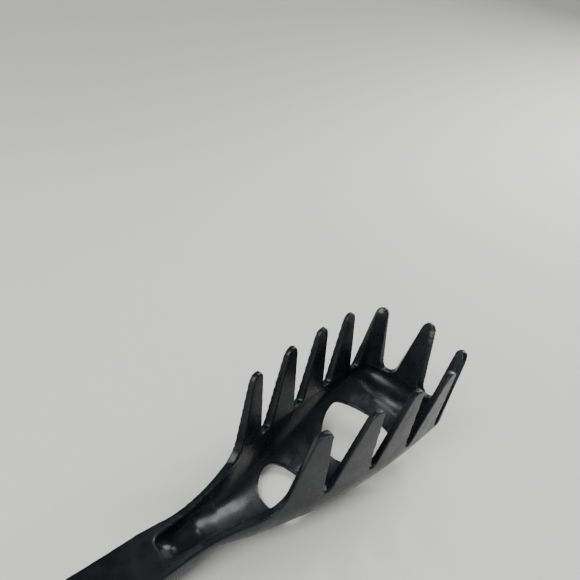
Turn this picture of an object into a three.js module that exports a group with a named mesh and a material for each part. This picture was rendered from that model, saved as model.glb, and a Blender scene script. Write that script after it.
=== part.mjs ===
// Pasta server moulded in black nylon: a slotted scoop with a crown of tines on a long, flat-topped handle.
// Millimetres. Head axes: +X towards the front tine, +Y to the left, +Z up; the scoop's rim lies near z = 0
// and x = 0 is just behind the front of the rim. The whole tool is then tipped as it rests on a table.
import * as THREE from 'three';

// Clearance between solids that are one moulding on the real tool.
const SEAM = 0.3;

// Scoop: outer half-width at the rim, outer depth and rim height along the tool, from the handle forward.
const SIDE_END_X = -16; // the sides stop here and the rounded front begins
const FRONT_LENGTH = 17; // of the rounded front
const FRONT_ROUNDNESS = 2.5; // superellipse power of the front, seen from above
const HALF_WIDTH = [
  [-146, 9.6], [-131, 9.2], [-120, 11.0], [-109, 14.3], [-94, 18.6],
  [-83, 21.3], [-60, 24.9], [-38, 27.0], [-16, 27.5],
];
const DEPTH = [
  [-152, 14.6], [-140, 14.2], [-128, 11.0], [-119, 14.6], [-106, 18.9],
  [-92, 20.7], [-72, 21.6], [-50, 19.6], [-16, 12.0],
];
const RIM_HEIGHT = [[-131, -3.0], [-112, -2.2], [-100, 0], [-16, 0]];
// Superellipse power of the scoop's cross section: higher is boxier.
const SECTION_POWER = [[-150, 3.2], [-131, 2.6], [-110, 2.4], [-72, 2.4], [-16, 2.2]];
const WALL = 2.2;
// The wall thickens towards the rim, where it is this thick.
const RIM_WALL = [[-118, 3.0], [-96, 3.9]];
// Rough lengths that turn a seam into a share: of a wall from rim to foot, and of a floor piece across.
const WALL_SPAN = 40;
const FLOOR_SPAN = 20;
const RIM_RUN_OUT = 4; // the rim's line is carried this far behind the heel

// Two drain holes, each an egg with its blunt end forward. rear and front run from its widest place.
const FRONT_HOLE = { x: -35.3, rear: 20.5, front: 10.2, half: 20.0, power: 1.8 };
const REAR_HOLE = { x: -84.5, rear: 12.2, front: 9.3, half: 13.8, power: 2.0 };
// Quarter turns from each hole's front point to where its edge leaves one floor piece for the next.
const FRONT_HOLE_TURNS = { scoop: 0.62, bridge: 1.52 };
const REAR_HOLE_TURNS = { bridge: 0.53, heel: 1.58 };
// Rim stations that face those corners.
const BRIDGE_FRONT_X = -56;
const BRIDGE_REAR_X = -77;
const HEEL_FRONT_X = -98;
const HEEL_END = { x: -118, half: 4.6 };

// Tines, from the front centre one backwards: the gaps between them lie at these rim stations.
const GAP_X = [0, -16, -38.5, -60.3, -83.3];
const REAR_TINE_END_X = -108;
const FRONT_GAP_RADIUS = 3.2;
const SIDE_GAP_RADIUS = 1.6;
const REAR_FILLET = 6;
// A tine is as thick as the rim at its root. Its inner face is narrower than its outer face: each side
// stands in by this much for every millimetre that the tine is thicker than a square-sided one.
const TIP_WALL = 2.6;
const SQUARE_WALL = 2.3;
const SIDE_DRAFT = 1.3;
const MOST_INSET = 0.35; // share of the outer face's width
const TIP_HALF = 3.3;
const TIP_ROUNDING = 0.1; // share of the height taken by the rounded tip
const TIP_NARROWING = 0.85; // share of the tip's width, squared, that the rounding takes
// tip is how far the tip stands from the gap in front towards the gap behind, as a share of that length.
// lean is how far it stands outside the rim.
const TINES = [
  { name: 'front_side', tip: 0.38, height: 33.6, lean: 5.0 },
  { name: 'side_1', tip: 0.2, height: 34.6, lean: 2.8 },
  { name: 'side_2', tip: 0.19, height: 34.7, lean: 1.7 },
  { name: 'side_3', tip: 0.19, height: 34.6, lean: 1.5 },
  { name: 'side_4', tip: 0.19, height: 34.3, lean: 0.8 },
];
const CENTRE_TINE = { height: 32.8, lean: 9.2 };

// Neck: the scoop's hollow runs out in a spoon-shaped end, and the handle's flat top begins behind it.
const HOLLOW_END_X = -143;
const HOLLOW_ROUNDNESS = 2.6; // superellipse power of the hollow's end
const HOLLOW_END_WIDTH = 0.5; // share of the hollow's width left where it runs out
const NECK_END_X = -150;
const NECK_BAND = 3.0; // width of the flat band on each side of the hollow

// Handle: a flat face over two skirts with cross ribs between them, open underneath.
const HANDLE_RISE = 0.054; // slope of the handle's face against the rim
const HANDLE_DATUM_X = -131; // where the rim's line gives way to the handle's
const HANDLE_END_X = -300;
const EYE_START_X = -272;
const HANDLE_HALF_WIDTH = [[-300, 11.5], [-280, 12.2], [-240, 11.0], [-200, 8.9], [-170, 8.8], [-150, 9.4]];
const HANDLE_DEPTH = [[-272, 9.4], [-240, 11.4], [-170, 12.6], [-150, 12.6]];
const FACE_THICKNESS = 2.6;
const SKIRT_WALL = 2.2;
const SKIRT_DRAFT = 1.2; // how far the skirt's lower edge stands in from its top
const RIB_THICKNESS = 1.8;
const RIB_COUNT = 6;
const RIB_SETBACK = 2; // how far the ribs stop above the skirts' lower edges
const EYE_THICKNESS = 7.0;
const EYE_HOLE = { length: 15, width: 8.5, fromEnd: 7 };

// The tool rests on the scoop's underside and the end of the handle.
const REST_TILT = THREE.MathUtils.degToRad(4.65);

const NYLON = 0x1c2023;
const NYLON_ROUGHNESS = 0.42;

// How finely each curved piece is faceted.
const WALL_STEPS = { down: 8, side: 34, front: 28 };
const BRIDGE_STEPS = { back: 6, across: 16 };
const HEEL_STEPS = { back: 8, across: 12 };
const TINE_STEPS = { up: 12, tip: 3, across: 6 };
const NECK_STEPS = { back: 16, across: 20 };
const HANDLE_STEPS = 20;
const EYE_STEPS = 16;

function material() {
  return new THREE.MeshStandardMaterial({ color: NYLON, roughness: NYLON_ROUGHNESS, metalness: 0 });
}

// Smooth curve through stations [x, value]: a Catmull-Rom slope at each, held flat past the ends.
function along(stations, x) {
  const last = stations.length - 1;
  if (x <= stations[0][0]) return stations[0][1];
  if (x >= stations[last][0]) return stations[last][1];
  const i = stations.findIndex((s, n) => n < last && x < stations[n + 1][0]);
  const slope = (k) => {
    const a = stations[Math.max(k - 1, 0)];
    const b = stations[Math.min(k + 1, last)];
    return (b[1] - a[1]) / (b[0] - a[0]);
  };
  const [x0, y0] = stations[i];
  const [x1, y1] = stations[i + 1];
  const h = x1 - x0;
  const u = (x - x0) / h;
  const rise = (2 * u * u * u - 3 * u * u + 1) * y0 + (3 * u * u - 2 * u * u * u) * y1;
  return rise + (u * u * u - 2 * u * u + u) * h * slope(i) + (u * u * u - u * u) * h * slope(i + 1);
}

const lerp = THREE.MathUtils.lerp;
const signedPower = (value, power) => Math.sign(value) * Math.abs(value) ** power;

// The rim seen from above, as a polyline from the front centre to the neck, with its running length.
const rimPath = (() => {
  const points = [];
  const frontSteps = 90;
  const sideStep = 0.5;
  for (let i = 0; i <= frontSteps; i += 1) {
    const angle = (i / frontSteps) * Math.PI / 2;
    const x = SIDE_END_X + FRONT_LENGTH * Math.cos(angle) ** (2 / FRONT_ROUNDNESS);
    const y = along(HALF_WIDTH, SIDE_END_X) * Math.sin(angle) ** (2 / FRONT_ROUNDNESS);
    points.push([x, y]);
  }
  for (let x = SIDE_END_X - sideStep; x >= HEEL_END.x - RIM_RUN_OUT; x -= sideStep) {
    points.push([x, along(HALF_WIDTH, x)]);
  }
  const lengths = [0];
  for (let i = 1; i < points.length; i += 1) {
    const [x0, y0] = points[i - 1];
    const [x1, y1] = points[i];
    lengths.push(lengths[i - 1] + Math.hypot(x1 - x0, y1 - y0));
  }
  return { points, lengths };
})();

// The point on the rim at running length s: positive on the left, negative on the right.
function rimPoint(s) {
  const { points, lengths } = rimPath;
  const run = Math.min(Math.abs(s), lengths[lengths.length - 1]);
  let i = lengths.findIndex((length) => length >= run);
  i = Math.max(i, 1);
  const u = (run - lengths[i - 1]) / (lengths[i] - lengths[i - 1]);
  const x = lerp(points[i - 1][0], points[i][0], u);
  const y = lerp(points[i - 1][1], points[i][1], u) * (s < 0 ? -1 : 1);
  return new THREE.Vector2(x, y);
}

// Outward direction of the rim at s, seen from above.
function rimNormal(s) {
  const step = 0.6;
  const heading = rimPoint(s + step).sub(rimPoint(s - step)).normalize();
  return new THREE.Vector2(heading.y, -heading.x);
}

// Running length at which the left rim passes station x.
function rimAt(x) {
  const i = rimPath.points.findIndex((point) => point[0] <= x);
  return rimPath.lengths[i];
}

// How far out a plan point lies: 0 on the scoop's middle line, 1 on its rim.
function reach(x, y) {
  const across = Math.abs(y) / along(HALF_WIDTH, Math.min(x, SIDE_END_X));
  if (x <= SIDE_END_X) return across;
  const forward = (x - SIDE_END_X) / FRONT_LENGTH;
  return (forward ** FRONT_ROUNDNESS + across ** FRONT_ROUNDNESS) ** (1 / FRONT_ROUNDNESS);
}

// Height of the scoop's outer skin over a plan point.
function skinHeight(x, y) {
  const rim = along(RIM_HEIGHT, x);
  const depth = along(DEPTH, x) + rim;
  const power = along(SECTION_POWER, x);
  const out = Math.min(reach(x, y), 1);
  return rim - depth * (1 - out ** power) ** (1 / power);
}

// A point on a hole's edge; turns is 0 at its front point, 1 at its widest place and 2 at its rear point.
function holeEdge(hole, turns, side) {
  const angle = turns * Math.PI / 2;
  const reachX = Math.cos(angle) > 0 ? hole.front : hole.rear;
  const x = hole.x + reachX * signedPower(Math.cos(angle), 2 / hole.power);
  const y = side * hole.half * Math.sin(angle) ** (2 / hole.power);
  return new THREE.Vector2(x, y);
}

const SEGMENTS = (() => {
  const front = rimAt(SIDE_END_X);
  const bridgeFront = rimAt(BRIDGE_FRONT_X);
  const bridgeRear = rimAt(BRIDGE_REAR_X);
  const heelFront = rimAt(HEEL_FRONT_X);
  const end = rimAt(HEEL_END.x);
  return { front, bridgeFront, bridgeRear, heelFront, end };
})();

// Where the wall that hangs from the rim at s meets a hole or a floor piece, seen from above.
function wallFoot(s) {
  const side = s < 0 ? -1 : 1;
  const run = Math.abs(s);
  const { front, bridgeFront, bridgeRear, heelFront, end } = SEGMENTS;
  const share = (from, to) => (run - from) / (to - from);
  if (run <= front) return holeEdge(FRONT_HOLE, share(0, front) * FRONT_HOLE_TURNS.scoop, side);
  if (run <= bridgeFront) {
    const turns = lerp(FRONT_HOLE_TURNS.scoop, FRONT_HOLE_TURNS.bridge, share(front, bridgeFront));
    return holeEdge(FRONT_HOLE, turns, side);
  }
  const bridgeCorner = holeEdge(REAR_HOLE, REAR_HOLE_TURNS.bridge, side);
  if (run <= bridgeRear) {
    const frontCorner = holeEdge(FRONT_HOLE, FRONT_HOLE_TURNS.bridge, side);
    return frontCorner.lerp(bridgeCorner, share(bridgeFront, bridgeRear));
  }
  if (run <= heelFront) {
    const turns = lerp(REAR_HOLE_TURNS.bridge, REAR_HOLE_TURNS.heel, share(bridgeRear, heelFront));
    return holeEdge(REAR_HOLE, turns, side);
  }
  const heelCorner = holeEdge(REAR_HOLE, REAR_HOLE_TURNS.heel, side);
  const heelEnd = new THREE.Vector2(HEEL_END.x, side * HEEL_END.half);
  return heelCorner.lerp(heelEnd, Math.min(share(heelFront, end), 1));
}

// A point on the outer skin of the wall: s along the rim, drop 0 at the rim and 1 at the wall's foot.
function wallSkin(s, drop) {
  const top = rimPoint(s);
  const foot = wallFoot(s);
  const footReach = reach(foot.x, foot.y);
  const power = along(SECTION_POWER, top.x);
  const turn = drop * Math.acos(footReach ** (power / 2));
  const share = (1 - Math.cos(turn) ** (2 / power)) / (1 - footReach);
  const plan = top.lerp(foot, share);
  return new THREE.Vector3(plan.x, plan.y, skinHeight(plan.x, plan.y));
}

// A closed solid between two grids of points that share their rows and columns.
function solidBetween(outer, inner) {
  const rows = outer.length;
  const columns = outer[0].length;
  const positions = [...outer.flat(), ...inner.flat()].flatMap((p) => [p.x, p.y, p.z]);
  const out = (i, j) => i * columns + j;
  const into = (i, j) => (rows + i) * columns + j;
  const triangles = [];
  const quad = (a, b, c, d) => triangles.push(a, b, c, a, c, d);
  for (let i = 0; i + 1 < rows; i += 1) {
    for (let j = 0; j + 1 < columns; j += 1) {
      quad(out(i, j), out(i, j + 1), out(i + 1, j + 1), out(i + 1, j));
      quad(into(i, j), into(i + 1, j), into(i + 1, j + 1), into(i, j + 1));
    }
  }
  for (let i = 0; i + 1 < rows; i += 1) {
    quad(out(i, 0), out(i + 1, 0), into(i + 1, 0), into(i, 0));
    quad(out(i, columns - 1), into(i, columns - 1), into(i + 1, columns - 1), out(i + 1, columns - 1));
  }
  for (let j = 0; j + 1 < columns; j += 1) {
    quad(out(0, j), into(0, j), into(0, j + 1), out(0, j + 1));
    quad(out(rows - 1, j), out(rows - 1, j + 1), into(rows - 1, j + 1), into(rows - 1, j));
  }
  return closedGeometry(positions, triangles);
}

// Turns the faces outwards, whichever way round the grids were walked.
function closedGeometry(positions, triangles) {
  const corner = (k) => new THREE.Vector3().fromArray(positions, 3 * triangles[k]);
  let volume = 0;
  for (let k = 0; k < triangles.length; k += 3) {
    volume += corner(k).dot(corner(k + 1).cross(corner(k + 2)));
  }
  const order = volume < 0 ? triangles.slice().reverse() : triangles;
  const geometry = new THREE.BufferGeometry();
  geometry.setAttribute('position', new THREE.Float32BufferAttribute(positions, 3));
  geometry.setIndex(order);
  geometry.computeVertexNormals();
  return geometry;
}

// A wall on the inner side of the skin. Both skin and thickness take shares from 0 to 1, down and across.
function shellPiece(skin, rows, columns, thickness) {
  const outer = [];
  const inner = [];
  const step = 1e-3;
  for (let i = 0; i <= rows; i += 1) {
    const outerRow = [];
    const innerRow = [];
    for (let j = 0; j <= columns; j += 1) {
      const a = THREE.MathUtils.clamp(i / rows, step, 1 - step);
      const b = THREE.MathUtils.clamp(j / columns, step, 1 - step);
      const down = skin(a + step, b).sub(skin(a - step, b));
      const across = skin(a, b + step).sub(skin(a, b - step));
      const inward = across.cross(down).normalize();
      const point = skin(i / rows, j / columns);
      outerRow.push(point);
      innerRow.push(point.clone().addScaledVector(inward, thickness(i / rows, j / columns)));
    }
    outer.push(outerRow);
    inner.push(innerRow);
  }
  return solidBetween(outer, inner);
}

const tool = new THREE.Group();
const head = new THREE.Group();
tool.add(head);

function place(name, geometry) {
  const mesh = new THREE.Mesh(geometry, material());
  mesh.name = name;
  head.add(mesh);
  return mesh;
}

// One wall from the rim down, between two places on the rim.
function wallPiece(from, to, columns) {
  const top = SEAM / WALL_SPAN;
  const skin = (drop, share) => wallSkin(lerp(from, to, share), lerp(top, 1 - top, drop));
  const thickness = (drop, share) => {
    const rimWall = along(RIM_WALL, rimPoint(lerp(from, to, share)).x);
    return lerp(WALL, rimWall, (1 - drop) ** 2);
  };
  return shellPiece(skin, WALL_STEPS.down, columns, thickness);
}

function addWalls() {
  const seam = SEAM / 2;
  const reachBack = SEGMENTS.end - seam;
  place('wall_left', wallPiece(SEGMENTS.front + seam, reachBack, WALL_STEPS.side));
  place('wall_right', wallPiece(-reachBack, -SEGMENTS.front - seam, WALL_STEPS.side));
  const halfFront = SEGMENTS.front - seam;
  place('scoop_front', wallPiece(-halfFront, halfFront, WALL_STEPS.front));
}

// A floor piece between two edges seen from above; both edges run from the right (0) to the left (1).
function floorPiece(frontEdge, rearEdge, steps) {
  const skin = (back, share) => {
    const edge = SEAM / FLOOR_SPAN;
    const shareIn = lerp(edge, 1 - edge, share);
    const plan = frontEdge(shareIn).lerp(rearEdge(shareIn), back);
    return new THREE.Vector3(plan.x, plan.y, skinHeight(plan.x, plan.y));
  };
  return shellPiece(skin, steps.back, steps.across, () => WALL);
}

// The stretch of a hole's edge from a corner on the right, through the middle line, to its twin on the left.
function holeStretch(hole, cornerTurns, middleTurns) {
  return (share) => {
    const offCentre = Math.abs(2 * share - 1);
    return holeEdge(hole, lerp(middleTurns, cornerTurns, offCentre), share < 0.5 ? -1 : 1);
  };
}

function addFloor() {
  const bridgeFront = holeStretch(FRONT_HOLE, FRONT_HOLE_TURNS.bridge, 2);
  const bridgeRear = holeStretch(REAR_HOLE, REAR_HOLE_TURNS.bridge, 0);
  place('drain_bridge', floorPiece(bridgeFront, bridgeRear, BRIDGE_STEPS));
  const heelFront = holeStretch(REAR_HOLE, REAR_HOLE_TURNS.heel, 2);
  const heelRear = (share) => {
    const across = lerp(-HEEL_END.half, HEEL_END.half, share);
    return new THREE.Vector2(HEEL_END.x + SEAM, across);
  };
  place('bowl_heel', floorPiece(heelFront, heelRear, HEEL_STEPS));
}

// Extra width at a tine's root, which rounds the bottom of the gap beside it.
function rootFlare(height, radius) {
  if (height >= radius) return 0;
  return radius - Math.sqrt(radius ** 2 - (radius - height) ** 2);
}

// A tapered blade that follows the rim at its root and is flat at its tip, with straight edges between them.
// from and to are the gap bottoms beside it along the rim.
function tinePiece({ from, to, fromRadius, toRadius, tip, height, lean }) {
  const { up: rows, tip: tipRows, across: columns } = TINE_STEPS;
  const tipNormal = rimNormal(tip);
  const tipAlong = new THREE.Vector2(-tipNormal.y, tipNormal.x);
  const tipMiddle = rimPoint(tip).addScaledVector(tipNormal, lean);
  const outer = [];
  const inner = [];
  for (let i = 0; i <= rows; i += 1) {
    const belowTip = Math.min(i / (rows - tipRows), 1) * (1 - TIP_ROUNDING);
    const rounded = Math.max(i - rows + tipRows, 0) / tipRows;
    const share = belowTip + rounded * TIP_ROUNDING;
    const rise = Math.max(share * height, SEAM);
    const shrink = Math.sqrt(1 - TIP_NARROWING * rounded ** 2);
    const left = from + fromRadius + SEAM / 2 - rootFlare(rise, fromRadius);
    const right = to - toRadius - SEAM / 2 + rootFlare(rise, toRadius);
    const planAt = (across) => {
      const top = tipMiddle.clone().addScaledVector(tipAlong, lerp(-TIP_HALF, TIP_HALF, across));
      return rimPoint(lerp(left, right, across)).lerp(top, share);
    };
    const width = planAt(1).distanceTo(planAt(0));
    const outerRow = [];
    const innerRow = [];
    for (let j = 0; j <= columns; j += 1) {
      const across = 0.5 + (j / columns - 0.5) * shrink;
      const s = lerp(left, right, across);
      const z = lerp(along(RIM_HEIGHT, rimPoint(s).x), 0, share) + rise;
      const thickness = lerp(along(RIM_WALL, rimPoint(s).x), TIP_WALL, share);
      const inset = Math.min(SIDE_DRAFT * (thickness - SQUARE_WALL) / width, MOST_INSET);
      const outward = rimNormal(s).lerp(tipNormal, share).normalize();
      const plan = planAt(across);
      const within = planAt(0.5 + (across - 0.5) * (1 - 2 * inset)).addScaledVector(outward, -thickness);
      outerRow.push(new THREE.Vector3(plan.x, plan.y, z));
      innerRow.push(new THREE.Vector3(within.x, within.y, z));
    }
    outer.push(outerRow);
    inner.push(innerRow);
  }
  return solidBetween(outer, inner);
}

function addTines() {
  const gaps = [...GAP_X.map(rimAt), rimAt(REAR_TINE_END_X)];
  const radius = FRONT_GAP_RADIUS;
  const centre = { from: -gaps[0], to: gaps[0], fromRadius: radius, toRadius: radius, tip: 0 };
  place('tine_front_centre', tinePiece({ ...centre, ...CENTRE_TINE }));
  TINES.forEach(({ name, tip, height, lean }, i) => {
    const near = gaps[i];
    const far = gaps[i + 1];
    const nearRadius = i === 0 ? FRONT_GAP_RADIUS : SIDE_GAP_RADIUS;
    const farRadius = i === TINES.length - 1 ? REAR_FILLET : SIDE_GAP_RADIUS;
    const tipAt = lerp(near, far, tip);
    const left = { from: near, to: far, fromRadius: nearRadius, toRadius: farRadius, tip: tipAt };
    const right = { from: -far, to: -near, fromRadius: farRadius, toRadius: nearRadius, tip: -tipAt };
    place(`tine_${name}_left`, tinePiece({ ...left, height, lean }));
    place(`tine_${name}_right`, tinePiece({ ...right, height, lean }));
  });
}

// The flat top behind the hollow, continued as the handle's face.
const handleTop = (x) => along(RIM_HEIGHT, HANDLE_DATUM_X) - HANDLE_RISE * (x - HANDLE_DATUM_X);
const topHeight = (x) => (x > HANDLE_DATUM_X ? along(RIM_HEIGHT, x) : handleTop(x));

// The neck: outer boat section below, and the scoop's hollow running out above.
function addNeck() {
  const { back: rows, across: columns } = NECK_STEPS;
  const outer = [];
  const inner = [];
  for (let i = 0; i <= rows; i += 1) {
    const x = lerp(HEEL_END.x - SEAM, NECK_END_X, i / rows);
    const run = THREE.MathUtils.clamp((x - HEEL_END.x) / (HOLLOW_END_X - HEEL_END.x), 0, 1);
    const fade = (1 - run ** HOLLOW_ROUNDNESS) ** (1 / HOLLOW_ROUNDNESS);
    const power = along(SECTION_POWER, x);
    const half = along(HALF_WIDTH, x);
    const top = topHeight(x);
    const depth = along(DEPTH, x) + top;
    const hollowHalf = half - NECK_BAND;
    const hollowDepth = Math.max((depth - WALL) * fade, 0);
    const hollowWidth = lerp(hollowHalf * HOLLOW_END_WIDTH, hollowHalf, fade);
    const outerRow = [];
    const innerRow = [];
    for (let j = 0; j <= columns; j += 1) {
      const angle = Math.PI * j / columns;
      const across = signedPower(Math.cos(angle), 2 / power);
      const down = Math.sin(angle) ** (2 / power);
      outerRow.push(new THREE.Vector3(x, half * across, top - depth * down));
      innerRow.push(new THREE.Vector3(x, hollowWidth * across, top - hollowDepth * down));
    }
    outer.push(outerRow);
    inner.push(innerRow);
  }
  place('neck', solidBetween(outer, inner));
}

// A slab along the handle between two stations, from (y, z) corners that may vary with x.
function handleSlab(fromX, toX, steps, corners) {
  const outer = [];
  const inner = [];
  for (let i = 0; i <= steps; i += 1) {
    const x = lerp(fromX, toX, i / steps);
    const points = corners(x).map(([y, z]) => new THREE.Vector3(x, y, z));
    outer.push(points.slice(0, 2));
    inner.push(points.slice(2));
  }
  return solidBetween(outer, inner);
}

function addHandle() {
  const fromX = NECK_END_X - SEAM;
  const toX = EYE_START_X + SEAM;
  const half = (x) => along(HANDLE_HALF_WIDTH, x);
  const bottom = (x) => handleTop(x) - along(HANDLE_DEPTH, x);
  const underFace = (x) => handleTop(x) - FACE_THICKNESS;
  place('handle_face', handleSlab(fromX, toX, HANDLE_STEPS, (x) => [
    [half(x), handleTop(x)], [-half(x), handleTop(x)],
    [half(x), underFace(x)], [-half(x), underFace(x)],
  ]));
  for (const [name, side] of [['left', 1], ['right', -1]]) {
    place(`handle_skirt_${name}`, handleSlab(fromX, toX, HANDLE_STEPS, (x) => [
      [side * half(x), underFace(x) - SEAM],
      [side * (half(x) - SKIRT_WALL), underFace(x) - SEAM],
      [side * (half(x) - SKIRT_DRAFT), bottom(x)],
      [side * (half(x) - SKIRT_DRAFT - SKIRT_WALL), bottom(x)],
    ]));
  }
  for (let i = 1; i <= RIB_COUNT; i += 1) {
    const middle = lerp(fromX, toX, i / (RIB_COUNT + 1));
    const inside = (x) => half(x) - SKIRT_WALL - SKIRT_DRAFT - SEAM;
    const halfRib = RIB_THICKNESS / 2;
    place(`handle_rib_${i}`, handleSlab(middle - halfRib, middle + halfRib, 1, (x) => [
      [inside(x), underFace(x) - SEAM], [-inside(x), underFace(x) - SEAM],
      [inside(x), bottom(x) + RIB_SETBACK], [-inside(x), bottom(x) + RIB_SETBACK],
    ]));
  }
}

// The solid end of the handle, with the slot that it hangs by.
function addHangingEye() {
  const half = along(HANDLE_HALF_WIDTH, EYE_START_X);
  const endHalf = along(HANDLE_HALF_WIDTH, HANDLE_END_X);
  const length = EYE_START_X - HANDLE_END_X;
  const outline = new THREE.Shape();
  outline.moveTo(0, half);
  outline.lineTo(-(length - endHalf), endHalf);
  outline.absarc(-(length - endHalf), 0, endHalf, Math.PI / 2, 3 * Math.PI / 2, false);
  outline.lineTo(0, -half);
  outline.closePath();
  const radius = EYE_HOLE.width / 2;
  const rear = -(length - EYE_HOLE.fromEnd - radius);
  const slot = new THREE.Path();
  slot.absarc(rear, 0, radius, Math.PI / 2, 3 * Math.PI / 2, false);
  slot.absarc(rear + EYE_HOLE.length - EYE_HOLE.width, 0, radius, -Math.PI / 2, Math.PI / 2, false);
  outline.holes.push(slot);
  const settings = { depth: EYE_THICKNESS, bevelEnabled: false, curveSegments: EYE_STEPS };
  const eye = place('hanging_eye', new THREE.ExtrudeGeometry(outline, settings));
  eye.rotation.y = Math.atan(HANDLE_RISE);
  eye.position.set(EYE_START_X - EYE_THICKNESS * HANDLE_RISE, 0, handleTop(EYE_START_X) - EYE_THICKNESS);
}

addWalls();
addFloor();
addTines();
addNeck();
addHandle();
addHangingEye();

// Rest the tool on the table, centred over the origin.
head.rotation.y = -REST_TILT;
head.updateMatrixWorld(true);
const box = new THREE.Box3().setFromObject(head, true);
const middle = box.getCenter(new THREE.Vector3());
head.position.set(-middle.x, -middle.y, -box.min.z);

export default tool;
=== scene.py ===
import math

import bmesh
import bpy
import numpy as np
from mathutils import Matrix, Vector


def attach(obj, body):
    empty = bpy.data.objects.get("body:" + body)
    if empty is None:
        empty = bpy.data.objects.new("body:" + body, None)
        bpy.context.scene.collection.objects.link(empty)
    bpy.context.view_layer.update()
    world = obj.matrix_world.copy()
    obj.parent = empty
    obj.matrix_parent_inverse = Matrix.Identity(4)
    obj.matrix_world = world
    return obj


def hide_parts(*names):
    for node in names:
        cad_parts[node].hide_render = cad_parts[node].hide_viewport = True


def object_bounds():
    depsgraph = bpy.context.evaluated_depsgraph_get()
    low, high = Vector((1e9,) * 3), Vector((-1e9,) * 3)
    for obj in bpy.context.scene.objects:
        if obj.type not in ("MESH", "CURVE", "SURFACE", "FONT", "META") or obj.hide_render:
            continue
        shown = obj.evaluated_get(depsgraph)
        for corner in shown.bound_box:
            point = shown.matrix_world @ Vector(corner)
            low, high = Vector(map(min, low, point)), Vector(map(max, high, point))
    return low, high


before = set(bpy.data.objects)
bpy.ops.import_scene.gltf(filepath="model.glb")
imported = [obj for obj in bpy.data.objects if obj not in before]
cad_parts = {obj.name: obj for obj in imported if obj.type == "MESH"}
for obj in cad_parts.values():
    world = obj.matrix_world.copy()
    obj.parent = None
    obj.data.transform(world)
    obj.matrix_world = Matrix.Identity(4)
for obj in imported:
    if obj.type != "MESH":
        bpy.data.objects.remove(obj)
cad_low, cad_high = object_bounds()

# A black nylon pasta server. The real tool is one moulding, so one continuous piece stands for every CAD
# node. Its shape is worked out in millimetres in the head's own axes: +X towards the front tine, +Y to the
# left, +Z up, with the scoop's rim near z = 0. It is then tipped as the tool rests, and scaled to metres.
MM = 0.001

# Scoop, in stations from the handle forward.
SIDE_END_X = -16
FRONT_LENGTH = 17
FRONT_ROUNDNESS = 2.5
HALF_WIDTH = [
    (-146, 9.6), (-131, 9.2), (-120, 11.0), (-109, 14.3), (-94, 18.6),
    (-83, 21.3), (-60, 24.9), (-38, 27.0), (-16, 27.5),
]
DEPTH = [
    (-152, 14.6), (-140, 14.2), (-128, 11.0), (-119, 14.6), (-106, 18.9),
    (-92, 20.7), (-72, 21.6), (-50, 19.6), (-16, 12.0),
]
RIM_HEIGHT = [(-131, -3.0), (-112, -2.2), (-100, 0), (-16, 0)]
SECTION_POWER = [(-150, 3.2), (-131, 2.6), (-110, 2.4), (-72, 2.4), (-16, 2.2)]
WALL = 2.2
RIM_WALL = [(-118, 3.0), (-96, 3.9)]
RIM_RUN_OUT = 4

# Drain holes: each an egg with its blunt end forward.
FRONT_HOLE = {"x": -35.3, "rear": 20.5, "front": 10.2, "half": 20.0, "power": 1.8}
REAR_HOLE = {"x": -84.5, "rear": 12.2, "front": 9.3, "half": 13.8, "power": 2.0}
SCOOP_TURNS = 0.62
FRONT_BRIDGE_TURNS = 1.52
REAR_BRIDGE_TURNS = 0.53
HEEL_TURNS = 1.58
BRIDGE_FRONT_X = -56
BRIDGE_REAR_X = -77
HEEL_FRONT_X = -98
HEEL_END_X = -118
HEEL_END_HALF = 4.6

# Tines: the gaps between them lie at these rim stations, from the front centre backwards.
GAP_X = [0, -16, -38.5, -60.3, -83.3]
REAR_TINE_END_X = -108
FRONT_GAP_RADIUS = 3.2
SIDE_GAP_RADIUS = 1.6
REAR_FILLET = 6
TIP_WALL = 2.6
SQUARE_WALL = 2.3
SIDE_DRAFT = 1.3
MOST_INSET = 0.35
TIP_HALF = 3.3
TIP_ROUNDING = 0.1
TIP_NARROWING = 0.9
# Each tine's height and lean outwards. A side tine's first number is its tip's place, as a share of the way
# from the gap in front of it to the gap behind it.
CENTRE_TINE = (32.8, 9.2)
SIDE_TINES = [(0.38, 33.6, 5.0), (0.2, 34.6, 2.8), (0.19, 34.7, 1.7), (0.19, 34.6, 1.5), (0.19, 34.3, 0.8)]

# Neck and handle.
HOLLOW_END_X = -143
HOLLOW_ROUNDNESS = 2.6
HOLLOW_END_WIDTH = 0.5
NECK_END_X = -150
NECK_BAND = 3.0
HANDLE_RISE = 0.054
HANDLE_DATUM_X = -131
HANDLE_END_X = -300
EYE_START_X = -272
HANDLE_HALF_WIDTH = [(-300, 11.5), (-280, 12.2), (-240, 11.0), (-200, 8.9), (-170, 8.8), (-150, 9.4)]
HANDLE_DEPTH = [(-272, 9.4), (-240, 11.4), (-170, 12.6), (-150, 12.6)]
FACE_THICKNESS = 2.6
SKIRT_WALL = 2.2
SKIRT_DRAFT = 1.2
RIB_THICKNESS = 1.8
RIB_COUNT = 6
RIB_SETBACK = 2
EYE_THICKNESS = 7.0
EYE_SLOT_LENGTH = 15
EYE_SLOT_WIDTH = 8.5
EYE_SLOT_FROM_END = 7
REST_TILT = math.radians(4.65)

# How the features are run together into one skin.
OVERLAP = 0.7
FLOOR_EDGE_POWER = 9
VOXEL = 0.4
SMOOTHING_ROUNDS = 7
MOST_TRIANGLES = 180000
HANDLE_STEPS = 90

# A chip in the tip of the left front tine. It lies aside from the tip's middle and below its top, and sinks
# along the rim and downwards.
CHIP_ASIDE = 1.4
CHIP_BELOW = 0.8
CHIP_RADIUS = 2.4
CHIP_DEPTH = 1.2
CHIP_DROP = 0.5

# Worn spots on the inner faces of two front tines: (aside, below, radius, strength).
WORN_LEFT_TINE = [(1.2, 1.0, 2.2, 0.9)]
WORN_CENTRE_TINE = [(-3.5, 3.7, 2.6, 0.45), (-3.8, 6.8, 1.8, 0.25)]
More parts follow.
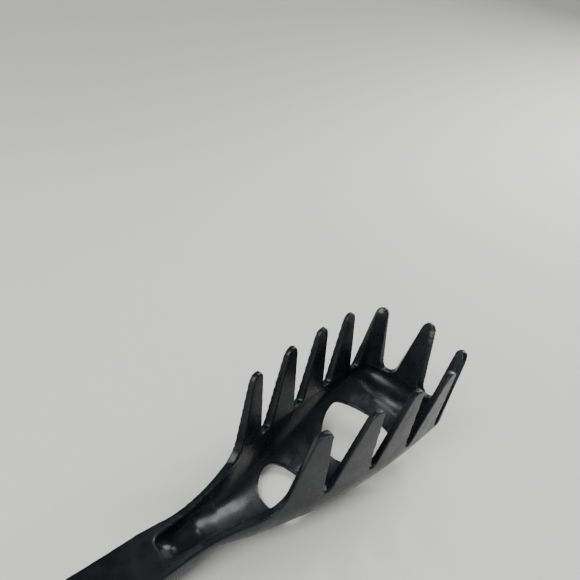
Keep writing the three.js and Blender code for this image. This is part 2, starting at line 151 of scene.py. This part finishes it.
# Haze on the floor ahead of the front drain hole: (x, y, radius, strength).
HAZE = [(-25, 13, 5.5, 0.5), (-20.5, 10, 5.5, 0.6), (-16.5, 1, 5.8, 0.75), (-11, -4.5, 4.0, 0.6)]
# A thin scratch on the outside of the right wall. Each end has a rim station, a height and an inset.
SCRATCH_START = (-78.5, 6.5, 1.8)
SCRATCH_END = (-63.5, -3.4, 0)
SCRATCH_WIDTH = 0.4
# The tips are paler above these heights, in metres: partly wear, partly a painted highlight on their tops.
TIP_WEAR_AND_SHEEN_LOW = cad_high.z - 0.007
TIP_WEAR_AND_SHEEN_HIGH = cad_high.z - 0.001

# The camera, in metres and degrees in the row frame.
CAMERA_AT = Vector((-0.04186, -0.08790, 0.16199))
CAMERA_YAW = math.radians(44.71)
CAMERA_PITCH = math.radians(-25.16)
CAMERA_ROLL = math.radians(8.76)
CAMERA_LENS = 27.06


def along(stations, x):
    """Smooth curve through (x, value) stations, held flat past the ends."""
    if x <= stations[0][0]:
        return stations[0][1]
    if x >= stations[-1][0]:
        return stations[-1][1]
    last = len(stations) - 1
    i = next(n for n in range(last) if x < stations[n + 1][0])

    def slope(k):
        a, b = stations[max(k - 1, 0)], stations[min(k + 1, last)]
        return (b[1] - a[1]) / (b[0] - a[0])

    (x0, y0), (x1, y1) = stations[i], stations[i + 1]
    h = x1 - x0
    u = (x - x0) / h
    rise = (2 * u**3 - 3 * u**2 + 1) * y0 + (3 * u**2 - 2 * u**3) * y1
    return rise + (u**3 - 2 * u**2 + u) * h * slope(i) + (u**3 - u**2) * h * slope(i + 1)


def lerp(a, b, u):
    return a + (b - a) * u


def signed_power(value, power):
    return math.copysign(abs(value) ** power, value)


def rim_path():
    """The left rim from the front centre to the neck, as plan points with their running length."""
    front_steps = 240
    side_step = 0.5
    widest = along(HALF_WIDTH, SIDE_END_X)
    points = []
    for i in range(front_steps + 1):
        angle = i / front_steps * math.pi / 2
        x = SIDE_END_X + FRONT_LENGTH * abs(math.cos(angle)) ** (2 / FRONT_ROUNDNESS)
        points.append((x, widest * math.sin(angle) ** (2 / FRONT_ROUNDNESS)))
    for x in np.arange(SIDE_END_X - side_step, HEEL_END_X - RIM_RUN_OUT, -side_step):
        points.append((float(x), along(HALF_WIDTH, x)))
    points = np.array(points)
    steps = np.linalg.norm(np.diff(points, axis=0), axis=1)
    return points, np.concatenate([[0], np.cumsum(steps)])


RIM_POINTS, RIM_LENGTHS = rim_path()


def rim_point(s):
    """The plan point on the rim at running length s. It is moved from the polyline onto the rim itself."""
    run = abs(s)
    x = float(np.interp(run, RIM_LENGTHS, RIM_POINTS[:, 0]))
    y = float(np.interp(run, RIM_LENGTHS, RIM_POINTS[:, 1]))
    if x <= SIDE_END_X:
        return np.array([x, math.copysign(along(HALF_WIDTH, x), s)])
    out = reach(x, y)
    return np.array([SIDE_END_X + (x - SIDE_END_X) / out, math.copysign(y / out, s)])


def rim_normal(s):
    step = 0.6
    heading = rim_point(s + step) - rim_point(s - step)
    return np.array([heading[1], -heading[0]]) / np.linalg.norm(heading)


def rim_at(x):
    """Running length at which the left rim passes station x."""
    return float(RIM_LENGTHS[np.argmax(RIM_POINTS[:, 0] <= x)])


def reach(x, y):
    """0 on the scoop's middle line, 1 on its rim."""
    across = abs(y) / along(HALF_WIDTH, min(x, SIDE_END_X))
    if x <= SIDE_END_X:
        return across
    forward = (x - SIDE_END_X) / FRONT_LENGTH
    return (forward**FRONT_ROUNDNESS + across**FRONT_ROUNDNESS) ** (1 / FRONT_ROUNDNESS)


def skin_height(x, y):
    rim = along(RIM_HEIGHT, x)
    power = along(SECTION_POWER, x)
    out = min(reach(x, y), 1.0)
    return rim - (along(DEPTH, x) + rim) * (1 - out**power) ** (1 / power)


def hole_edge(hole, turns, side):
    """turns is 0 at the hole's front point, 1 at its widest place and 2 at its rear point."""
    angle = turns * math.pi / 2
    reach_x = hole["front"] if math.cos(angle) > 0 else hole["rear"]
    x = hole["x"] + reach_x * signed_power(math.cos(angle), 2 / hole["power"])
    y = side * hole["half"] * abs(math.sin(angle)) ** (2 / hole["power"])
    return np.array([x, y])


FRONT_RUN = rim_at(SIDE_END_X)
BRIDGE_FRONT_RUN = rim_at(BRIDGE_FRONT_X)
BRIDGE_REAR_RUN = rim_at(BRIDGE_REAR_X)
HEEL_FRONT_RUN = rim_at(HEEL_FRONT_X)
END_RUN = rim_at(HEEL_END_X)


def wall_foot(s):
    """Where the wall that hangs from the rim at s meets a hole or the floor, seen from above."""
    side = -1 if s < 0 else 1
    run = abs(s)
    if run <= FRONT_RUN:
        return hole_edge(FRONT_HOLE, run / FRONT_RUN * SCOOP_TURNS, side)
    if run <= BRIDGE_FRONT_RUN:
        share = (run - FRONT_RUN) / (BRIDGE_FRONT_RUN - FRONT_RUN)
        return hole_edge(FRONT_HOLE, lerp(SCOOP_TURNS, FRONT_BRIDGE_TURNS, share), side)
    if run <= BRIDGE_REAR_RUN:
        share = (run - BRIDGE_FRONT_RUN) / (BRIDGE_REAR_RUN - BRIDGE_FRONT_RUN)
        front_corner = hole_edge(FRONT_HOLE, FRONT_BRIDGE_TURNS, side)
        return lerp(front_corner, hole_edge(REAR_HOLE, REAR_BRIDGE_TURNS, side), share)
    if run <= HEEL_FRONT_RUN:
        share = (run - BRIDGE_REAR_RUN) / (HEEL_FRONT_RUN - BRIDGE_REAR_RUN)
        return hole_edge(REAR_HOLE, lerp(REAR_BRIDGE_TURNS, HEEL_TURNS, share), side)
    share = min((run - HEEL_FRONT_RUN) / (END_RUN - HEEL_FRONT_RUN), 1)
    return lerp(hole_edge(REAR_HOLE, HEEL_TURNS, side), np.array([HEEL_END_X, side * HEEL_END_HALF]), share)


def wall_skin(s, drop):
    top = rim_point(s)
    foot = wall_foot(s)
    foot_reach = reach(*foot)
    power = along(SECTION_POWER, top[0])
    turn = drop * math.acos(foot_reach ** (power / 2))
    share = (1 - math.cos(turn) ** (2 / power)) / (1 - foot_reach)
    x, y = lerp(top, foot, share)
    return np.array([x, y, skin_height(x, y)])


class Solids:
    """Collects closed solids, each made of quads, into one list of points and faces."""

    def __init__(self):
        self.points = []
        self.faces = []
        self.count = 0

    def add(self, points, faces):
        self.points.append(points)
        self.faces.append(faces + self.count)
        self.count += len(points)

    def between(self, outer, inner, ring=False):
        """The solid between two grids. A ring's last row joins its first."""
        rows, columns = outer.shape[:2]
        index = np.arange(rows * columns).reshape(rows, columns)
        if ring:
            index = np.vstack([index, index[:1]])
        far = index + rows * columns
        sheets = [quads(index), quads(far)]
        borders = [(index[:, 0], far[:, 0]), (index[:, -1], far[:, -1])]
        if not ring:
            borders += [(index[0], far[0]), (index[-1], far[-1])]
        strips = [quads(np.stack(border)) for border in borders]
        points = np.concatenate([outer.reshape(-1, 3), inner.reshape(-1, 3)])
        self.add(points, np.concatenate(sheets + strips))


def quads(index):
    corners = [index[:-1, :-1], index[:-1, 1:], index[1:, 1:], index[1:, :-1]]
    return np.stack([c.ravel() for c in corners], axis=1)


def shell(solids, skin, rows, columns, thickness):
    """A wall on the inner side of a skin, over shares from 0 to 1; thickness depends on both shares."""
    step = 1e-3
    outer = np.zeros((rows + 1, columns + 1, 3))
    inner = np.zeros_like(outer)
    for i in range(rows + 1):
        for j in range(columns + 1):
            a = min(max(i / rows, step), 1 - step)
            b = min(max(j / columns, step), 1 - step)
            down = skin(a + step, b) - skin(a - step, b)
            across = skin(a, b + step) - skin(a, b - step)
            inward = np.cross(across, down)
            inward /= np.linalg.norm(inward)
            outer[i, j] = skin(i / rows, j / columns)
            inner[i, j] = outer[i, j] + inward * thickness(i / rows, j / columns)
    solids.between(outer, inner)


def add_walls(solids):
    run_out = END_RUN + OVERLAP

    def thickness(drop, share):
        rim_wall = along(RIM_WALL, rim_point(lerp(-run_out, run_out, share))[0])
        return lerp(WALL, rim_wall, (1 - drop) ** 2)

    rows, columns = 26, 320

    def skin(drop, share):
        return wall_skin(lerp(-run_out, run_out, share), drop)

    shell(solids, skin, rows, columns, thickness)


def add_floor(solids):
    def stretch(hole, corner_turns, middle_turns):
        def edge(share):
            off_centre = abs(2 * share - 1)
            return hole_edge(hole, lerp(middle_turns, corner_turns, off_centre), -1 if share < 0.5 else 1)

        return edge

    def piece(front_edge, rear_edge, rows, columns):
        def skin(back, share):
            x, y = lerp(front_edge(share), rear_edge(share), back)
            widened = y + OVERLAP * (2 * share - 1) ** FLOOR_EDGE_POWER
            return np.array([x, widened, skin_height(x, widened)])

        shell(solids, skin, rows, columns, lambda back, share: WALL)

    piece(stretch(FRONT_HOLE, FRONT_BRIDGE_TURNS, 2), stretch(REAR_HOLE, REAR_BRIDGE_TURNS, 0), 20, 60)
    heel_end = HEEL_END_X - OVERLAP
    piece(
        stretch(REAR_HOLE, HEEL_TURNS, 2),
        lambda share: np.array([heel_end, lerp(-HEEL_END_HALF, HEEL_END_HALF, share)]),
        24, 40,
    )


def root_flare(height, radius):
    if height >= radius:
        return 0
    return radius - math.sqrt(radius**2 - (radius - max(height, 0)) ** 2)


def add_tine(solids, start, end, start_radius, end_radius, tip, height, lean):
    """A tapered blade that follows the rim at its root and is flat at its tip."""
    rows, tip_rows, columns = 44, 12, 18
    tip_normal = rim_normal(tip)
    tip_along = np.array([-tip_normal[1], tip_normal[0]])
    tip_middle = rim_point(tip) + tip_normal * lean
    outer = np.zeros((rows + 1, columns + 1, 3))
    inner = np.zeros_like(outer)
    for i in range(rows + 1):
        below_tip = min(i / (rows - tip_rows), 1) * (1 - TIP_ROUNDING)
        rounded = math.sin(max(i - rows + tip_rows, 0) / tip_rows * math.pi / 2)
        share = below_tip + rounded * TIP_ROUNDING
        rise = share * height if i else -OVERLAP
        shrink = math.sqrt(1 - TIP_NARROWING * rounded**2)
        left = start + start_radius - root_flare(rise, start_radius)
        right = end - end_radius + root_flare(rise, end_radius)

        def plan_at(across):
            top = tip_middle + tip_along * lerp(-TIP_HALF, TIP_HALF, across)
            return lerp(rim_point(lerp(left, right, across)), top, share)

        width = np.linalg.norm(plan_at(1) - plan_at(0))
        for j in range(columns + 1):
            across = 0.5 + (j / columns - 0.5) * shrink
            s = lerp(left, right, across)
            x = rim_point(s)[0]
            z = lerp(along(RIM_HEIGHT, x), 0, share) + rise
            thickness = lerp(along(RIM_WALL, x), TIP_WALL, share)
            inset = min(SIDE_DRAFT * (thickness - SQUARE_WALL) / width, MOST_INSET)
            outward = lerp(rim_normal(s), tip_normal, share)
            within = plan_at(0.5 + (across - 0.5) * (1 - 2 * inset))
            within = within - outward / np.linalg.norm(outward) * thickness
            outer[i, j] = (*plan_at(across), z)
            inner[i, j] = (*within, z)
    solids.between(outer, inner)


def add_tines(solids):
    gaps = [rim_at(x) for x in GAP_X] + [rim_at(REAR_TINE_END_X)]
    add_tine(solids, -gaps[0], gaps[0], FRONT_GAP_RADIUS, FRONT_GAP_RADIUS, 0, *CENTRE_TINE)
    for i, (tip, height, lean) in enumerate(SIDE_TINES):
        near, far = gaps[i], gaps[i + 1]
        near_radius = FRONT_GAP_RADIUS if i == 0 else SIDE_GAP_RADIUS
        far_radius = REAR_FILLET if i == len(SIDE_TINES) - 1 else SIDE_GAP_RADIUS
        tip_at = lerp(near, far, tip)
        add_tine(solids, near, far, near_radius, far_radius, tip_at, height, lean)
        add_tine(solids, -far, -near, far_radius, near_radius, -tip_at, height, lean)


def handle_top(x):
    return along(RIM_HEIGHT, HANDLE_DATUM_X) - HANDLE_RISE * (x - HANDLE_DATUM_X)


def top_height(x):
    return along(RIM_HEIGHT, x) if x > HANDLE_DATUM_X else handle_top(x)


def add_neck(solids):
    rows, columns = 80, 64
    outer = np.zeros((rows + 1, columns + 1, 3))
    inner = np.zeros_like(outer)
    for i in range(rows + 1):
        x = lerp(HEEL_END_X + OVERLAP, NECK_END_X - OVERLAP, i / rows)
        run = min(max((x - HEEL_END_X) / (HOLLOW_END_X - HEEL_END_X), 0), 1)
        fade = (1 - run**HOLLOW_ROUNDNESS) ** (1 / HOLLOW_ROUNDNESS)
        power = along(SECTION_POWER, x)
        half = along(HALF_WIDTH, x)
        top = top_height(x)
        depth = along(DEPTH, x) + top
        hollow_half = half - NECK_BAND
        hollow_depth = max((depth - WALL) * fade, 0)
        hollow_width = lerp(hollow_half * HOLLOW_END_WIDTH, hollow_half, fade)
        for j in range(columns + 1):
            angle = math.pi * j / columns
            across = signed_power(math.cos(angle), 2 / power)
            down = abs(math.sin(angle)) ** (2 / power)
            outer[i, j] = (x, half * across, top - depth * down)
            inner[i, j] = (x, hollow_width * across, top - hollow_depth * down)
    solids.between(outer, inner)


def add_slab(solids, from_x, to_x, steps, corners):
    """A bar along the handle; corners(x) gives two upper and two lower (y, z) points."""
    grid = np.zeros((steps + 1, 4, 3))
    for i in range(steps + 1):
        x = lerp(from_x, to_x, i / steps)
        grid[i] = [(x, y, z) for y, z in corners(x)]
    solids.between(grid[:, :2], grid[:, 2:])


def add_handle(solids):
    from_x = NECK_END_X + OVERLAP
    to_x = EYE_START_X - OVERLAP

    def half(x):
        return along(HANDLE_HALF_WIDTH, x)

    def under_face(x):
        return handle_top(x) - FACE_THICKNESS

    def bottom(x):
        return handle_top(x) - along(HANDLE_DEPTH, x)

    def face(x):
        return [
            (half(x), handle_top(x)), (-half(x), handle_top(x)),
            (half(x), under_face(x)), (-half(x), under_face(x)),
        ]

    add_slab(solids, from_x, to_x, HANDLE_STEPS, face)
    for side in (1, -1):
        def skirt(x):
            top = under_face(x) + OVERLAP
            foot = half(x) - SKIRT_DRAFT
            return [
                (side * half(x), top), (side * (half(x) - SKIRT_WALL), top),
                (side * foot, bottom(x)), (side * (foot - SKIRT_WALL), bottom(x)),
            ]

        add_slab(solids, from_x, to_x, HANDLE_STEPS, skirt)
    for i in range(1, RIB_COUNT + 1):
        middle = lerp(from_x, to_x, i / (RIB_COUNT + 1))

        def rib(x):
            inside = half(x) - SKIRT_WALL
            foot = inside - SKIRT_DRAFT + OVERLAP
            top = under_face(x) + OVERLAP
            low = bottom(x) + RIB_SETBACK
            return [(inside, top), (-inside, top), (foot, low), (-foot, low)]

        add_slab(solids, middle - RIB_THICKNESS / 2, middle + RIB_THICKNESS / 2, 2, rib)


def even_loop(corners, count):
    """count points evenly spaced along a closed line."""
    closed = np.array([*corners, corners[0]], float)
    lengths = np.concatenate([[0], np.cumsum(np.linalg.norm(np.diff(closed, axis=0), axis=1))])
    runs = np.linspace(0, lengths[-1], count, endpoint=False)
    return np.stack([np.interp(runs, lengths, closed[:, k]) for k in (0, 1)], axis=1)


def arc(centre_x, radius, start, end, count):
    angles = np.linspace(start, end, count)
    return [(centre_x + radius * math.cos(a), radius * math.sin(a)) for a in angles]


def add_hanging_eye(solids):
    """The solid end of the handle, a plate with a slot, made as a ring between its outline and the slot."""
    count = 200
    half = along(HANDLE_HALF_WIDTH, EYE_START_X)
    end_half = along(HANDLE_HALF_WIDTH, HANDLE_END_X)
    radius = EYE_SLOT_WIDTH / 2
    slot_rear = HANDLE_END_X + EYE_SLOT_FROM_END + radius
    slot_front = slot_rear + EYE_SLOT_LENGTH - EYE_SLOT_WIDTH
    front = EYE_START_X + OVERLAP
    turn = math.pi / 2
    nearly_round = 3.98 * turn
    round_end = arc(HANDLE_END_X + end_half, end_half, turn, 3 * turn, 60)
    outline = [(front, 0), (front, half), *round_end, (front, -half)]
    slot = [
        *arc(slot_front, radius, 0, turn, 20), *arc(slot_rear, radius, turn, 3 * turn, 40),
        *arc(slot_front, radius, 3 * turn, nearly_round, 20),
    ]
    plan = np.stack([even_loop(outline, count), even_loop(slot, count)], axis=1)
    top = np.array([[handle_top(x) for x, _ in pair] for pair in plan])[..., None]
    upper = np.concatenate([plan, top], -1)
    lower = np.concatenate([plan, top - EYE_THICKNESS], -1)
    solids.between(upper, lower, ring=True)


def evaluated_mesh(obj):
    graph = bpy.context.evaluated_depsgraph_get()
    return bpy.data.meshes.new_from_object(obj.evaluated_get(graph))


def keep_largest_island(mesh):
    """Drops the specks that the remesh leaves beside the moulding."""
    shape = bmesh.new()
    shape.from_mesh(mesh)
    seen = set()
    islands = []
    for first in shape.verts:
        if first in seen:
            continue
        seen.add(first)
        island = [first]
        for vert in island:
            for edge in vert.link_edges:
                other = edge.other_vert(vert)
                if other not in seen:
                    seen.add(other)
                    island.append(other)
        islands.append(island)
    islands.sort(key=len)
    specks = [vert for island in islands[:-1] for vert in island]
    bmesh.ops.delete(shape, geom=specks, context="VERTS")
    shape.to_mesh(mesh)
    shape.free()


def chip_tip(mesh, middle, push):
    """Knocks a small chip out of the edge of one front tine's tip."""
    points = np.empty(3 * len(mesh.vertices))
    mesh.vertices.foreach_get("co", points)
    points = points.reshape(-1, 3)
    share = np.clip(1 - np.linalg.norm(points - middle, axis=1) / CHIP_RADIUS, 0, 1)
    points += np.outer(share, push)
    mesh.vertices.foreach_set("co", points.ravel())


def make_solids():
    """Every feature as overlapping closed solids: their points and faces, tipped as the tool rests."""
    solids = Solids()
    add_walls(solids)
    add_floor(solids)
    add_tines(solids)
    add_neck(solids)
    add_handle(solids)
    add_hanging_eye(solids)
    return np.concatenate(solids.points) @ REST_AXES, np.concatenate(solids.faces)


REST_AXES = np.array(Matrix.Rotation(-REST_TILT, 3, "Y")).T
tipped_points, moulding_faces = make_solids()
box_low, box_high = tipped_points.min(0), tipped_points.max(0)
REST_SHIFT = np.array([(box_low[0] + box_high[0]) / 2, (box_low[1] + box_high[1]) / 2, box_low[2]])


def at_rest(place):
    """A place in the head's axes, taken to where it lies when the tool rests on the table."""
    return place @ REST_AXES - REST_SHIFT


def front_left_tine():
    share, height, lean = SIDE_TINES[0]
    return lerp(rim_at(GAP_X[0]), rim_at(GAP_X[1]), share), height, lean


def tine_place(tip, height, lean, aside, below):
    """A place on a tine's inner face, aside along the rim from its tip's middle and below its top."""
    normal = rim_normal(tip)
    tangent = np.array([-normal[1], normal[0]])
    outward = lean * (1 - below / height) - TIP_WALL
    x, y = rim_point(tip) + normal * outward + tangent * aside
    return np.array([x, y, height - below])


def floor_place(x, y):
    return np.array([x, y, skin_height(x, y) + WALL])


def right_wall_place(station, height, inset):
    s = -rim_at(station)
    x, y = rim_point(s) - rim_normal(s) * inset
    return np.array([x, y, height])


def chip():
    """The chip's middle, and how far the skin there is pushed."""
    tip, height, lean = front_left_tine()
    normal = rim_normal(tip)
    middle = at_rest(tine_place(tip, height, lean, CHIP_ASIDE, CHIP_BELOW))
    return middle, np.array([normal[1] * CHIP_DEPTH, -normal[0] * CHIP_DEPTH, -CHIP_DROP])


def make_moulding(points, faces):
    mesh = bpy.data.meshes.new("server_moulding")
    mesh.from_pydata(points.tolist(), [], faces.tolist())
    obj = bpy.data.objects.new("server_moulding", mesh)
    bpy.context.scene.collection.objects.link(obj)
    remesh = obj.modifiers.new("run_together", "REMESH")
    remesh.mode = "VOXEL"
    remesh.voxel_size = VOXEL
    smooth = obj.modifiers.new("soften_edges", "SMOOTH")
    smooth.factor = 0.5
    smooth.iterations = SMOOTHING_ROUNDS
    obj.data = evaluated_mesh(obj)
    obj.modifiers.clear()
    triangles = 2 * len(obj.data.polygons)
    thin = obj.modifiers.new("thin_out", "DECIMATE")
    thin.ratio = min(1.0, MOST_TRIANGLES / triangles)
    obj.data = evaluated_mesh(obj)
    obj.modifiers.clear()
    keep_largest_island(obj.data)
    chip_tip(obj.data, *chip())
    obj.data.transform(Matrix.Scale(MM, 4))
    obj.data.shade_smooth()
    return obj


class Nodes:
    """Short calls for building one material's node tree."""

    def __init__(self, material):
        self.tree = material.node_tree

    def add(self, kind, inputs=(), **settings):
        node = self.tree.nodes.new(kind)
        for name, value in settings.items():
            setattr(node, name, value)
        for name, value in dict(inputs).items():
            if isinstance(value, bpy.types.NodeSocket):
                self.tree.links.new(value, node.inputs[name])
            else:
                node.inputs[name].default_value = value
        return node

    def noise(self, place, scale, detail=4.0, roughness=0.55):
        inputs = {"Vector": place, "Scale": scale, "Detail": detail, "Roughness": roughness}
        return self.add("ShaderNodeTexNoise", inputs).outputs["Fac"]

    def between(self, value, low, high, to_low=0.0, to_high=1.0):
        inputs = {0: value, 1: low, 2: high, 3: to_low, 4: to_high}
        return self.add("ShaderNodeMapRange", inputs, interpolation_type="SMOOTHSTEP").outputs[0]

    def vector(self, operation, output, a, b):
        return self.add("ShaderNodeVectorMath", {0: a, 1: b}, operation=operation).outputs[output]

    def math(self, operation, a, b):
        return self.add("ShaderNodeMath", {0: a, 1: b}, operation=operation).outputs[0]

    def spots(self, place, marks):
        """The strongest of several round marks, each fading out from its middle."""
        total = 0.0
        for middle, radius, strength in marks:
            away = self.vector("DISTANCE", "Value", place, middle)
            total = self.math("MAXIMUM", self.between(away, 0.3 * radius, radius, strength, 0.0), total)
        return total

    def scratch(self, place, start, end, width):
        """A thin straight mark between two points."""
        middle = (start + end) / 2
        length = (end - start).length
        direction = (end - start) / length
        offset = self.vector("SUBTRACT", "Vector", place, middle)
        run = self.vector("DOT_PRODUCT", "Value", offset, direction)
        away = self.vector("DISTANCE", "Value", place, middle)
        squares = [self.math("POWER", value, 2.0) for value in (away, run)]
        aside = self.math("SQRT", self.math("SUBTRACT", *squares), 0.0)
        ends = self.between(self.math("ABSOLUTE", run, 0.0), 0.35 * length, 0.5 * length, 1.0, 0.0)
        return self.math("MULTIPLY", self.between(aside, 0.3 * width, 2 * width, 1.0, 0.0), ends)

    def mix(self, share, a, b):
        node = self.add("ShaderNodeMix", {0: share, 6: a, 7: b}, data_type="RGBA")
        return node.outputs[2]


NYLON = (0.0050, 0.0060, 0.0074, 1)
NYLON_LIGHT = (0.0095, 0.0112, 0.0130, 1)
SCUFFED = (0.10, 0.105, 0.105, 1)
SLATE = (0.075, 0.085, 0.095, 1)
WORN = (0.30, 0.29, 0.26, 1)


def wear_spot(place, radius, strength):
    return tuple(at_rest(place) * MM), radius * MM, strength


def worn_spots():
    worn = [(front_left_tine(), mark) for mark in WORN_LEFT_TINE]
    worn += [((0, *CENTRE_TINE), mark) for mark in WORN_CENTRE_TINE]
    return [
        wear_spot(tine_place(*tine, aside, below), radius, strength)
        for tine, (aside, below, radius, strength) in worn
    ]


def nylon_material():
    material = bpy.data.materials.new("black_nylon")
    material.use_nodes = True
    nodes = Nodes(material)
    shader = material.node_tree.nodes["Principled BSDF"]
    coordinates = nodes.add("ShaderNodeTexCoord").outputs
    place = coordinates["Object"]
    facing = nodes.add("ShaderNodeSeparateXYZ", {0: coordinates["Normal"]}).outputs[2]
    upward = nodes.between(facing, 0.1, 0.5)
    cloudy = nodes.between(nodes.noise(place, 60), 0.35, 0.7)
    colour = nodes.mix(cloudy, NYLON, NYLON_LIGHT)
    scratch_place = nodes.add(
        "ShaderNodeMapping", {"Vector": place, "Scale": (60, 900, 900), "Rotation": (0, 0, 0.5)}
    ).outputs[0]
    scratches = nodes.between(nodes.noise(scratch_place, 1.0, 2.0), 0.66, 0.74)
    patches = nodes.between(nodes.noise(place, 90, 3.0), 0.5, 0.66)
    scuffs = nodes.math("MULTIPLY", nodes.math("MULTIPLY", scratches, patches), 0.5)
    colour = nodes.mix(scuffs, colour, SCUFFED)
    height = nodes.add("ShaderNodeSeparateXYZ", {0: place}).outputs[2]
    # Painted highlight and wear: the tops of the tips are mixed towards a paler slate, as if lit from above
    # and rubbed.
    tips = nodes.between(height, TIP_WEAR_AND_SHEEN_LOW, TIP_WEAR_AND_SHEEN_HIGH)
    rubbed_and_sheen = nodes.math("MULTIPLY", tips, nodes.between(nodes.noise(place, 260, 3.0), 0.40, 0.70))
    colour = nodes.mix(nodes.math("MULTIPLY", rubbed_and_sheen, 0.35), colour, SLATE)
    broken = nodes.between(nodes.noise(place, 900, 3.0), 0.35, 0.60, 0.35, 1.0)
    haze = [wear_spot(floor_place(x, y), radius, strength) for x, y, radius, strength in HAZE]
    hazy = nodes.math("MULTIPLY", nodes.math("MULTIPLY", nodes.spots(place, haze), upward), broken)
    ends = [Vector(at_rest(right_wall_place(*end)) * MM) for end in (SCRATCH_START, SCRATCH_END)]
    scratched = nodes.math("MULTIPLY", nodes.scratch(place, *ends, SCRATCH_WIDTH * MM), broken)
    hazy = nodes.math("MAXIMUM", hazy, nodes.math("MULTIPLY", scratched, 0.5))
    colour = nodes.mix(nodes.math("MULTIPLY", hazy, 0.6), colour, SCUFFED)
    worn = nodes.math("MULTIPLY", nodes.spots(place, worn_spots()), broken)
    colour = nodes.mix(worn, colour, WORN)
    nodes.tree.links.new(colour, shader.inputs["Base Color"])
    gloss = nodes.between(nodes.noise(place, 140, 5.0), 0.3, 0.7, 0.22, 0.36)
    roughness = nodes.math("ADD", gloss, nodes.math("MULTIPLY", scuffs, 0.3))
    nodes.tree.links.new(roughness, shader.inputs["Roughness"])
    shader.inputs["Specular IOR Level"].default_value = 0.3
    grain = nodes.noise(place, 2600, 3.0)
    ripple = nodes.noise(place, 120, 2.0)
    relief = nodes.math("ADD", nodes.math("MULTIPLY", grain, 0.25), ripple)
    bump = nodes.add("ShaderNodeBump", {"Height": relief, "Strength": 0.12, "Distance": 0.0006})
    nodes.tree.links.new(bump.outputs[0], shader.inputs["Normal"])
    return material


def make_stage():
    """A pale floor that curves up all round. It stops low, so upward faces reflect a dim room above."""
    centre_radius, floor_radius, cove_width, cove_height = 0.4, 0.8, 1.7, 1.3
    segments, cove_steps = 96, 24
    profile = [(centre_radius, 0.0), (floor_radius, 0.0)]
    for i in range(1, cove_steps + 1):
        angle = i / cove_steps * math.pi / 2
        profile.append((floor_radius + cove_width * math.sin(angle), cove_height * (1 - math.cos(angle))))
    points = [
        (r * math.cos(a), r * math.sin(a), z)
        for r, z in profile
        for a in np.linspace(0, 2 * math.pi, segments, endpoint=False)
    ]
    faces = [tuple(range(segments))]
    for i in range(len(profile) - 1):
        ring, next_ring = i * segments, (i + 1) * segments
        for j in range(segments):
            k = (j + 1) % segments
            faces.append((ring + j, next_ring + j, next_ring + k, ring + k))
    mesh = bpy.data.meshes.new("studio_floor")
    mesh.from_pydata(points, [], faces)
    mesh.shade_smooth()
    floor = bpy.data.objects.new("studio_floor", mesh)
    bpy.context.scene.collection.objects.link(floor)
    material = bpy.data.materials.new("studio_paper")
    material.use_nodes = True
    shader = material.node_tree.nodes["Principled BSDF"]
    shader.inputs["Base Color"].default_value = (0.78, 0.775, 0.76, 1)
    shader.inputs["Roughness"].default_value = 0.9
    mesh.materials.append(material)


def add_light(name, azimuth, elevation, distance, size, power):
    """A round soft light, placed by its direction from the scoop and aimed at it. Angles are degrees."""
    azimuth, elevation = math.radians(azimuth), math.radians(elevation)
    aim = Vector((0.08, 0, 0.03))
    towards = Vector((math.cos(azimuth), math.sin(azimuth), math.tan(elevation))).normalized()
    data = bpy.data.lights.new(name, "AREA")
    data.shape = "DISK"
    data.size = size
    data.energy = power
    light = bpy.data.objects.new(name, data)
    light.location = aim + towards * distance
    light.rotation_mode = "QUATERNION"
    light.rotation_quaternion = towards.to_track_quat("Z", "Y")
    bpy.context.scene.collection.objects.link(light)


def make_lights():
    world = bpy.data.worlds.new("studio")
    world.use_nodes = True
    background = world.node_tree.nodes["Background"]
    background.inputs["Color"].default_value = (0.93, 0.96, 1.0, 1)
    background.inputs["Strength"].default_value = 0.12
    bpy.context.scene.world = world
    add_light("window", azimuth=42, elevation=59, distance=1.5, size=0.30, power=2.6)
    add_light("fill_behind_handle", azimuth=190, elevation=42, distance=1.9, size=1.2, power=30)
    add_light("fill_ahead", azimuth=0, elevation=38, distance=1.9, size=1.2, power=34)


def make_camera():
    data = bpy.data.cameras.new("camera")
    data.lens = CAMERA_LENS
    data.sensor_width = 36
    data.clip_start = 0.005
    camera = bpy.data.objects.new("camera", data)
    forward = Vector((
        math.cos(CAMERA_PITCH) * math.cos(CAMERA_YAW),
        math.cos(CAMERA_PITCH) * math.sin(CAMERA_YAW),
        math.sin(CAMERA_PITCH),
    ))
    level = forward.cross(Vector((0, 0, 1))).normalized()
    upright = level.cross(forward)
    right = level * math.cos(CAMERA_ROLL) + upright * math.sin(CAMERA_ROLL)
    up = upright * math.cos(CAMERA_ROLL) - level * math.sin(CAMERA_ROLL)
    axes = Matrix((right, up, -forward)).transposed()
    camera.matrix_world = Matrix.Translation(CAMERA_AT) @ axes.to_4x4()
    bpy.context.scene.collection.objects.link(camera)
    bpy.context.scene.camera = camera


make_camera()
make_stage()
make_lights()
nylon = nylon_material()
moulding = make_moulding(tipped_points - REST_SHIFT, moulding_faces)
moulding.data.materials.clear()
moulding.data.materials.append(nylon)
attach(moulding, "root")
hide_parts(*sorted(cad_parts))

print("moulding faces", len(moulding.data.polygons))
